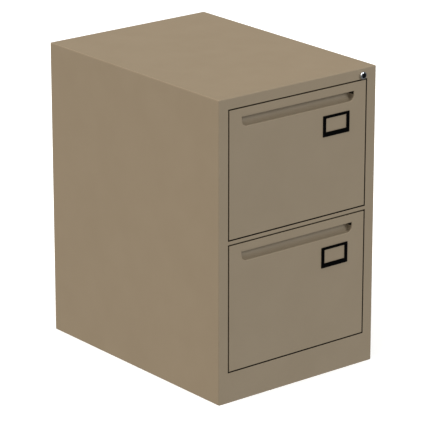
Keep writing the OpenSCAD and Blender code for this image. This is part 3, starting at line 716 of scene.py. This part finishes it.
# ---------------------------------------------------------------------------------------------
# Drawer trays: 0.8 mm sheet, folded up at the sides and hemmed at the top for hanging files, with
# a welded back; powder coated as the case. Plated screws and strikers are fitted after painting.
# ---------------------------------------------------------------------------------------------
for drawer in ("upper", "lower"):
    refinish(coffee_powder_coat, f"{drawer}_drawer_tray", f"{drawer}_drawer_back")
    refinish(coffee_primer_coat, f"{drawer}_front_liner")
    refinish(zinc_plate, f"{drawer}_slide_screws", f"{drawer}_lock_striker")

# ---------------------------------------------------------------------------------------------
# Drawer fronts: a folded pan whose face runs into the handle recess, a pressed cup with a straight
# sharp upper lip, finger space behind it, a scooped floor and a soft lower lip, powder coated.
# ---------------------------------------------------------------------------------------------
DRAWER_SHEET = 0.8 * MM
PAN_FOLD_R = 1.0 * MM
CUP_FLANGE = 6 * MM
CUP_HOOD = 9 * MM
CUP_LIP = 1.8 * MM
CUP_R = 14 * MM
CUP_COVE = 17 * MM
HOOD_R = 3 * MM
LOWER_LIP_R = 2.2 * MM

cup_low, cup_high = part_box("upper_pull_cup")
mouth_half = cup_high.x - CUP_FLANGE
mouth_low = cup_low.z + CUP_FLANGE
hood_z = cup_high.z - CUP_FLANGE
mouth_top = hood_z - CUP_HOOD
cup_back = cup_high.y - DRAWER_SHEET

cup = start_block(
    "upper_cup",
    Vector((-mouth_half, front_y, mouth_low)),
    Vector((mouth_half, cup_back, mouth_top)),
)
bpy.ops.mesh.select_all(action="SELECT")
bpy.ops.mesh.bisect(plane_co=(0, front_y + CUP_LIP, 0), plane_no=(0, 1, 0))
pick_faces(cup, lambda m, n: n.z > FLAT and m.y > front_y + CUP_LIP)
extrude(0, 0, CUP_HOOD)
bpy.ops.mesh.select_all(action="SELECT")
bpy.ops.mesh.dissolve_limited(angle_limit=math.radians(1))
pick_edges(cup, lambda m, d, free: abs(d.y) > FLAT and near(m.z, mouth_low))
bpy.ops.mesh.bevel(offset=CUP_R, segments=10, affect="EDGES")
bpy.ops.object.mode_set(mode="OBJECT")

scoop = start_block(
    "scoop",
    Vector((-2 * mouth_half, front_y - CUP_LIP, mouth_low)),
    Vector((2 * mouth_half, cup_back, hood_z)),
)
pick_edges(
    scoop,
    lambda m, d, free: abs(d.x) > FLAT and near(m.z, mouth_low) and near(m.y, cup_back),
)
bpy.ops.mesh.bevel(offset=CUP_COVE, segments=12, affect="EDGES")
pick_edges(
    scoop,
    lambda m, d, free: abs(d.x) > FLAT and near(m.z, hood_z) and near(m.y, cup_back),
)
bpy.ops.mesh.bevel(offset=HOOD_R, segments=5, affect="EDGES")
bpy.ops.object.mode_set(mode="OBJECT")
select_only(cup)
apply_modifier(cup, "BOOLEAN", operation="INTERSECT", object=scoop, solver="EXACT")
bpy.data.objects.remove(scoop)
bpy.ops.object.mode_set(mode="EDIT")
pick_faces(cup, lambda m, n: n.y < -FLAT and near(m.y, front_y))
bpy.ops.mesh.delete(type="FACE")
bpy.ops.mesh.select_all(action="SELECT")
bpy.ops.mesh.flip_normals()
pick_edges(cup, lambda m, d, free: free)
extrude(0, 0, 0)
bpy.ops.transform.resize(
    value=(
        1 + CUP_FLANGE / mouth_half,
        1,
        1 + 2 * CUP_FLANGE / (mouth_top - mouth_low),
    ),
    center_override=(0, front_y, (mouth_low + mouth_top) / 2),
)
bpy.ops.object.mode_set(mode="OBJECT")

skin = start_block("upper_front_skin", upper_low, upper_high)
pick_edges(skin, lambda m, d, free: m.y < upper_high.y - NEAR)
bpy.ops.mesh.bevel(offset=PAN_FOLD_R, segments=4, affect="EDGES")
pick_faces(skin, lambda m, n: abs(n.y) > FLAT)
bpy.ops.mesh.delete(type="FACE")
bpy.ops.object.mode_set(mode="OBJECT")
cup.select_set(True)
bpy.ops.object.join()
bpy.ops.object.mode_set(mode="EDIT")
pick_edges(skin, lambda m, d, free: free and near(m.y, front_y))
bpy.ops.mesh.fill(use_beauty=True)
bpy.ops.mesh.select_all(action="SELECT")
bpy.ops.mesh.normals_make_consistent(inside=False)


def on_lower_lip(m, d, free):
    """True for the edges of the mouth's ends, lower corners and lower side."""
    inside = abs(m.x) < mouth_half + NEAR and mouth_low - NEAR < m.z < mouth_top - NEAR
    level = near(m.z, mouth_low) and abs(d.x) > FLAT
    upright = near(abs(m.x), mouth_half) and abs(d.z) > FLAT
    corner = Vector((mouth_half - CUP_R, mouth_low + CUP_R))
    reach = (Vector((abs(m.x), m.z)) - corner).length
    curved = abs(m.x) > corner.x and m.z < corner.y and abs(reach - CUP_R) < 0.2 * MM
    return near(m.y, front_y) and inside and (level or upright or curved)


pick_edges(skin, on_lower_lip)
bpy.ops.mesh.bevel(offset=LOWER_LIP_R, segments=4, affect="EDGES")
thicken(skin, DRAWER_SHEET)


def on_pan_side(m, n):
    """True for the folded sides of the pan, behind their folds."""
    side = abs(m.x) > upper_high.x - 2 * DRAWER_SHEET
    end = m.z > upper_high.z - 2 * DRAWER_SHEET or m.z < upper_low.z + 2 * DRAWER_SHEET
    return m.y > front_y + PAN_FOLD_R and abs(n.y) < 0.5 and (side or end)


def in_hood(m, n):
    """True for the cup's surfaces hidden above the mouth and behind its upper lip."""
    inside = mouth_top - NEAR < m.z < hood_z + 2 * DRAWER_SHEET
    return inside and m.y > front_y + CUP_LIP / 3 and abs(m.x) < mouth_half + 2 * DRAWER_SHEET


# Painted shade: the pan's folded sides and the cup's surfaces under its hood get darker paint,
# which darkens the gaps and the top of the recess.
paint_shade_in_gaps(skin, pan_side_painted_shade, on_pan_side)
paint_shade_in_gaps(skin, lip_painted_shade, in_hood)
lower_drop = Vector((0, 0, lower_low.z - upper_low.z))


def copy_down(piece, name):
    """A copy with its own mesh, moved from the upper drawer to the lower one."""
    select_only(piece)
    bpy.ops.object.duplicate()
    twin = bpy.context.object
    twin.name = twin.data.name = name
    bpy.ops.object.mode_set(mode="EDIT")
    bpy.ops.mesh.select_all(action="SELECT")
    bpy.ops.transform.translate(value=lower_drop)
    bpy.ops.object.mode_set(mode="OBJECT")
    return twin


lower_skin = copy_down(skin, "lower_front_skin")
for drawer, piece in (("lower", lower_skin), ("upper", skin)):
    select_only(piece)
    finish_piece(
        piece,
        coffee_powder_coat,
        f"{drawer}_drawer",
        "coffee_powder_coat",
        f"{drawer}_drawer_front",
        f"{drawer}_pull_cup",
    )

# ---------------------------------------------------------------------------------------------
# Card holders: a flat frame blanked from steel, its edges rounded by the press, in stoved black
# enamel; the lower bar is wider, and a card slides in from above.
# ---------------------------------------------------------------------------------------------
CARD_SIDE = 8.7 * MM
CARD_TOP = 6.4 * MM
CARD_LOW = 10.6 * MM
CARD_CORNER_R = 1.2 * MM
CARD_EDGE_R = 0.5 * MM

black_enamel = stoved_paint("black_enamel", "#050505", "#030303", 0.4, 0.04, 0.04 * MM)

card_low, card_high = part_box("upper_card_holder")
card = start_block("upper_card_frame", card_low, card_high)
for cut_x in (card_low.x + CARD_SIDE, card_high.x - CARD_SIDE):
    pick_faces(card, lambda m, n: abs(n.y) > FLAT)
    bpy.ops.mesh.bisect(plane_co=(cut_x, 0, 0), plane_no=(1, 0, 0))
for cut_z in (card_low.z + CARD_LOW, card_high.z - CARD_TOP):
    pick_faces(card, lambda m, n: abs(n.y) > FLAT)
    bpy.ops.mesh.bisect(plane_co=(0, 0, cut_z), plane_no=(0, 0, 1))
pick_faces(
    card,
    lambda m, n: abs(n.y) > FLAT
    and card_low.x + CARD_SIDE < m.x < card_high.x - CARD_SIDE
    and card_low.z + CARD_LOW < m.z < card_high.z - CARD_TOP,
)
bpy.ops.mesh.bridge_edge_loops()
pick_edges(
    card,
    lambda m, d, free: abs(d.y) > FLAT and (near(m.x, card_low.x) or near(m.x, card_high.x)),
)
bpy.ops.mesh.bevel(offset=CARD_CORNER_R, segments=4, affect="EDGES")
pick_faces(card, lambda m, n: n.y < -FLAT)
bpy.ops.mesh.region_to_loop()
bpy.ops.mesh.bevel(offset=CARD_EDGE_R, segments=3, affect="EDGES")
bpy.ops.object.mode_set(mode="OBJECT")
lower_card = copy_down(card, "lower_card_frame")
for drawer, piece in (("lower", lower_card), ("upper", card)):
    select_only(piece)
    finish_piece(
        piece, black_enamel, f"{drawer}_drawer", "black_enamel", f"{drawer}_card_holder"
    )
